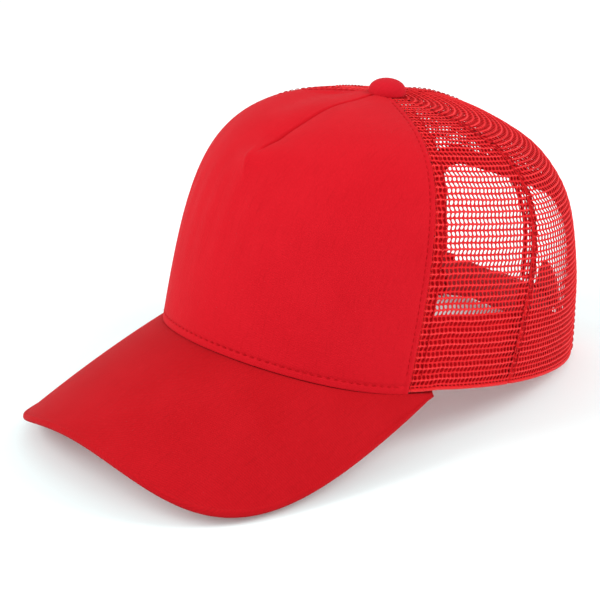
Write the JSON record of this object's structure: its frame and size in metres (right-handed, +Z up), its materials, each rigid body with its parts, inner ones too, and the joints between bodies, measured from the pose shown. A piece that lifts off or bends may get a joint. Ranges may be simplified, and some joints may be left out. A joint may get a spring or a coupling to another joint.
{
  "type": "trucker mesh cap",
  "caption": "Red trucker cap with a plain cloth front, net sides and back, a curved visor, a covered top button and a press-stud strap across the rear opening.",
  "frame": {"origin": "centre of the cap's footprint, on the surface that it rests on", "axes": "+Z up; the visor points to -Y; +X is the wearer's left; the cap lies as it does on a table, on its visor's side edges and the back of its rim"},
  "size_m": [0.1618, 0.2573, 0.1362],
  "materials": {
    "front_cloth": "matt cotton twill with a fine diagonal grain",
    "backing": "thin foam backing behind the front panel",
    "mesh_cloth": "open polyester net with raised horizontal threads",
    "seam_tape": "woven tape",
    "sweatband": "folded cotton twill with a soft filling",
    "visor_board": "sheet plastic stiffener",
    "visor_cloth": "matt cotton twill with a fine diagonal grain",
    "button_cloth": "matt cotton twill stretched over a metal shell",
    "button_metal": "plain pressed steel",
    "strap_plastic": "moulded semi-gloss plastic"
  },
  "bodies": {
    "cap": {"front_panel": "front_cloth", "front_backing": "backing", "left_side_mesh": "mesh_cloth", "right_side_mesh": "mesh_cloth", "left_back_mesh": "mesh_cloth", "right_back_mesh": "mesh_cloth", "left_front_tape": "seam_tape", "right_front_tape": "seam_tape", "left_side_tape": "seam_tape", "right_side_tape": "seam_tape", "back_centre_tape": "seam_tape", "opening_binding": "seam_tape", "sweatband": "sweatband", "visor_board": "visor_board", "visor_top_cover": "visor_cloth", "visor_under_cover": "visor_cloth", "button_cover": "button_cloth", "button_shell": "button_metal", "button_rivet": "button_metal", "left_strap_root": "strap_plastic", "right_strap_root": "strap_plastic"},
    "hole_tongue": {"hole_strap": "strap_plastic"},
    "stud_tongue": {"stud_strap": "strap_plastic"}
  },
  "joints": [
    {"name": "hole_strap_flex", "type": "hinge", "parent": "cap", "child": "hole_tongue", "pos_m": [0.0384, 0.12183, 0.0131], "axis": [0, 0.003, -1], "range_deg": [0, 60], "stiffness_Nm_per_rad": 0.03},
    {"name": "stud_strap_flex", "type": "hinge", "parent": "cap", "child": "stud_tongue", "pos_m": [-0.0384, 0.12033, 0.0131], "axis": [0, 0.003, -1], "range_deg": [0, 25], "stiffness_Nm_per_rad": 0.03}
  ]
}
